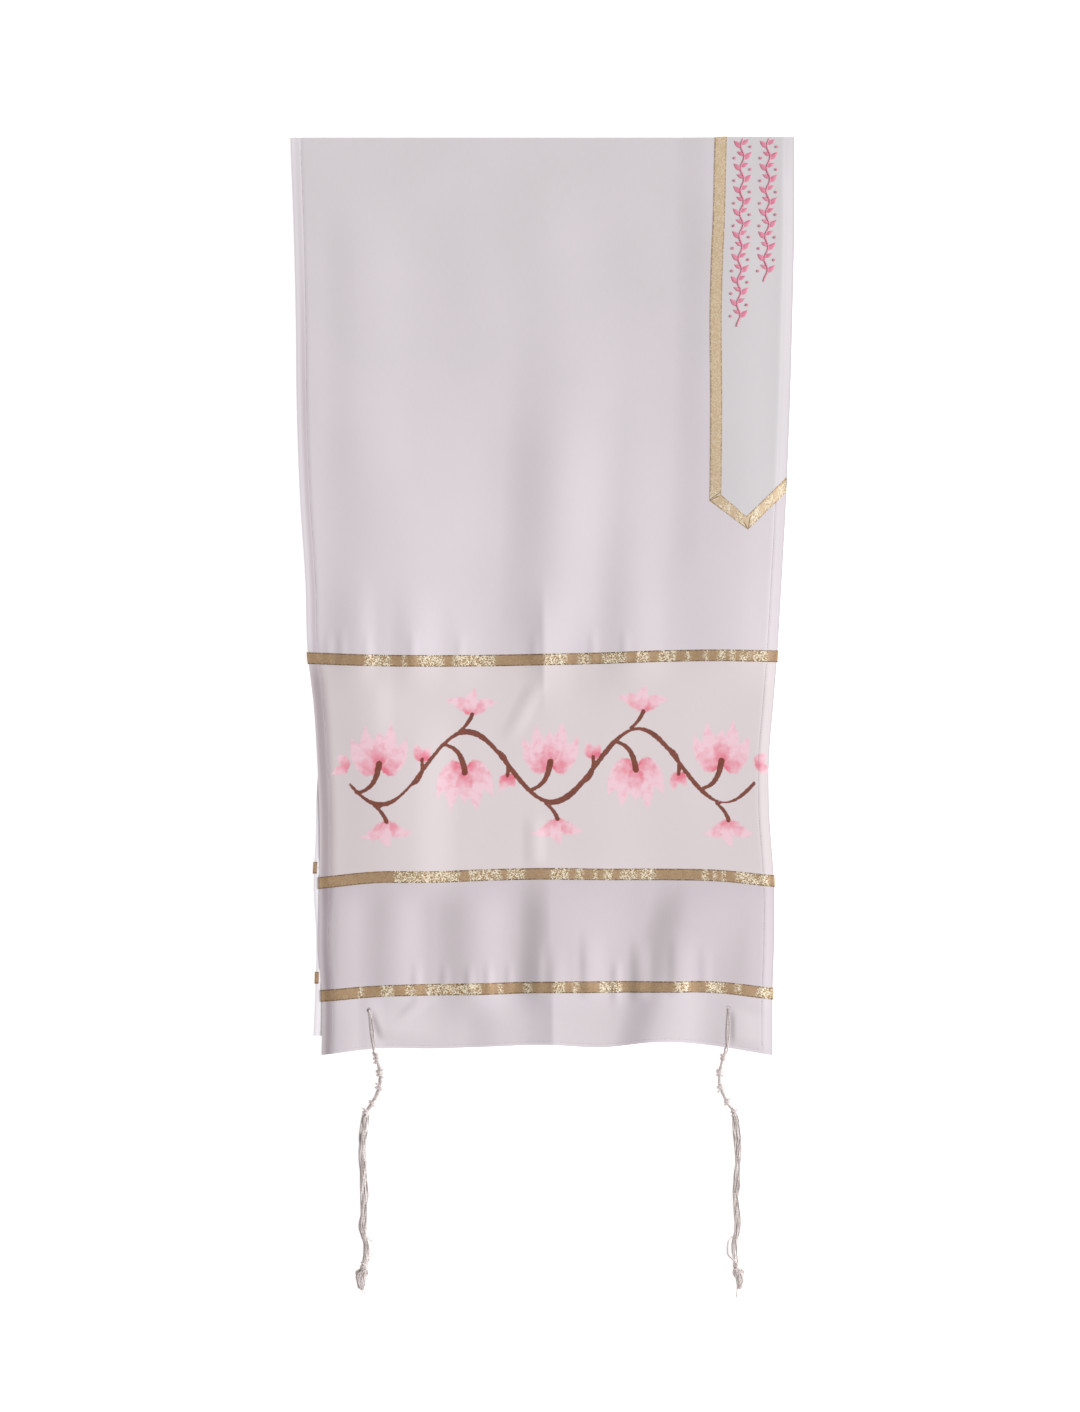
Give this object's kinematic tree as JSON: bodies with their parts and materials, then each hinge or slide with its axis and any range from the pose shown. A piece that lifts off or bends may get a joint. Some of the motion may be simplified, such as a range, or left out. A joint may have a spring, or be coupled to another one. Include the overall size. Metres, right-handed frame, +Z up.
{
  "type": "tallit prayer shawl",
  "caption": "Prayer shawl folded in half and laid flat, with gold ribbon bands, a pointed neckband and knotted corner tassels.",
  "frame": {"origin": "under the middle of the shawl's box, on the surface that it lies on", "axes": "+Z up from the surface, +Y from the tassels to the top fold, +X to the neckband's side"},
  "size_m": [0.5541, 1.2723, 0.013],
  "materials": {
    "body_cloth": "soft sheen",
    "decor_cloth": "matte",
    "neckband_cloth": "soft sheen",
    "gold_ribbon": "metallic weave",
    "tassel_thread": "matte"
  },
  "bodies": {
    "root": {"body_panel": "body_cloth", "decor_panel_front": "decor_cloth", "decor_panel_back": "decor_cloth", "end_panel_front": "body_cloth", "end_panel_back": "body_cloth", "ribbon_front_upper": "gold_ribbon", "ribbon_front_middle": "gold_ribbon", "ribbon_front_lower": "gold_ribbon", "ribbon_back_upper": "gold_ribbon", "ribbon_back_middle": "gold_ribbon", "ribbon_back_lower": "gold_ribbon", "neckband": "neckband_cloth", "neckband_ribbon": "gold_ribbon", "tassel_front_left": "tassel_thread", "tassel_front_right": "tassel_thread", "tassel_back_left": "tassel_thread", "tassel_back_right": "tassel_thread"}
  },
  "joints": []
}
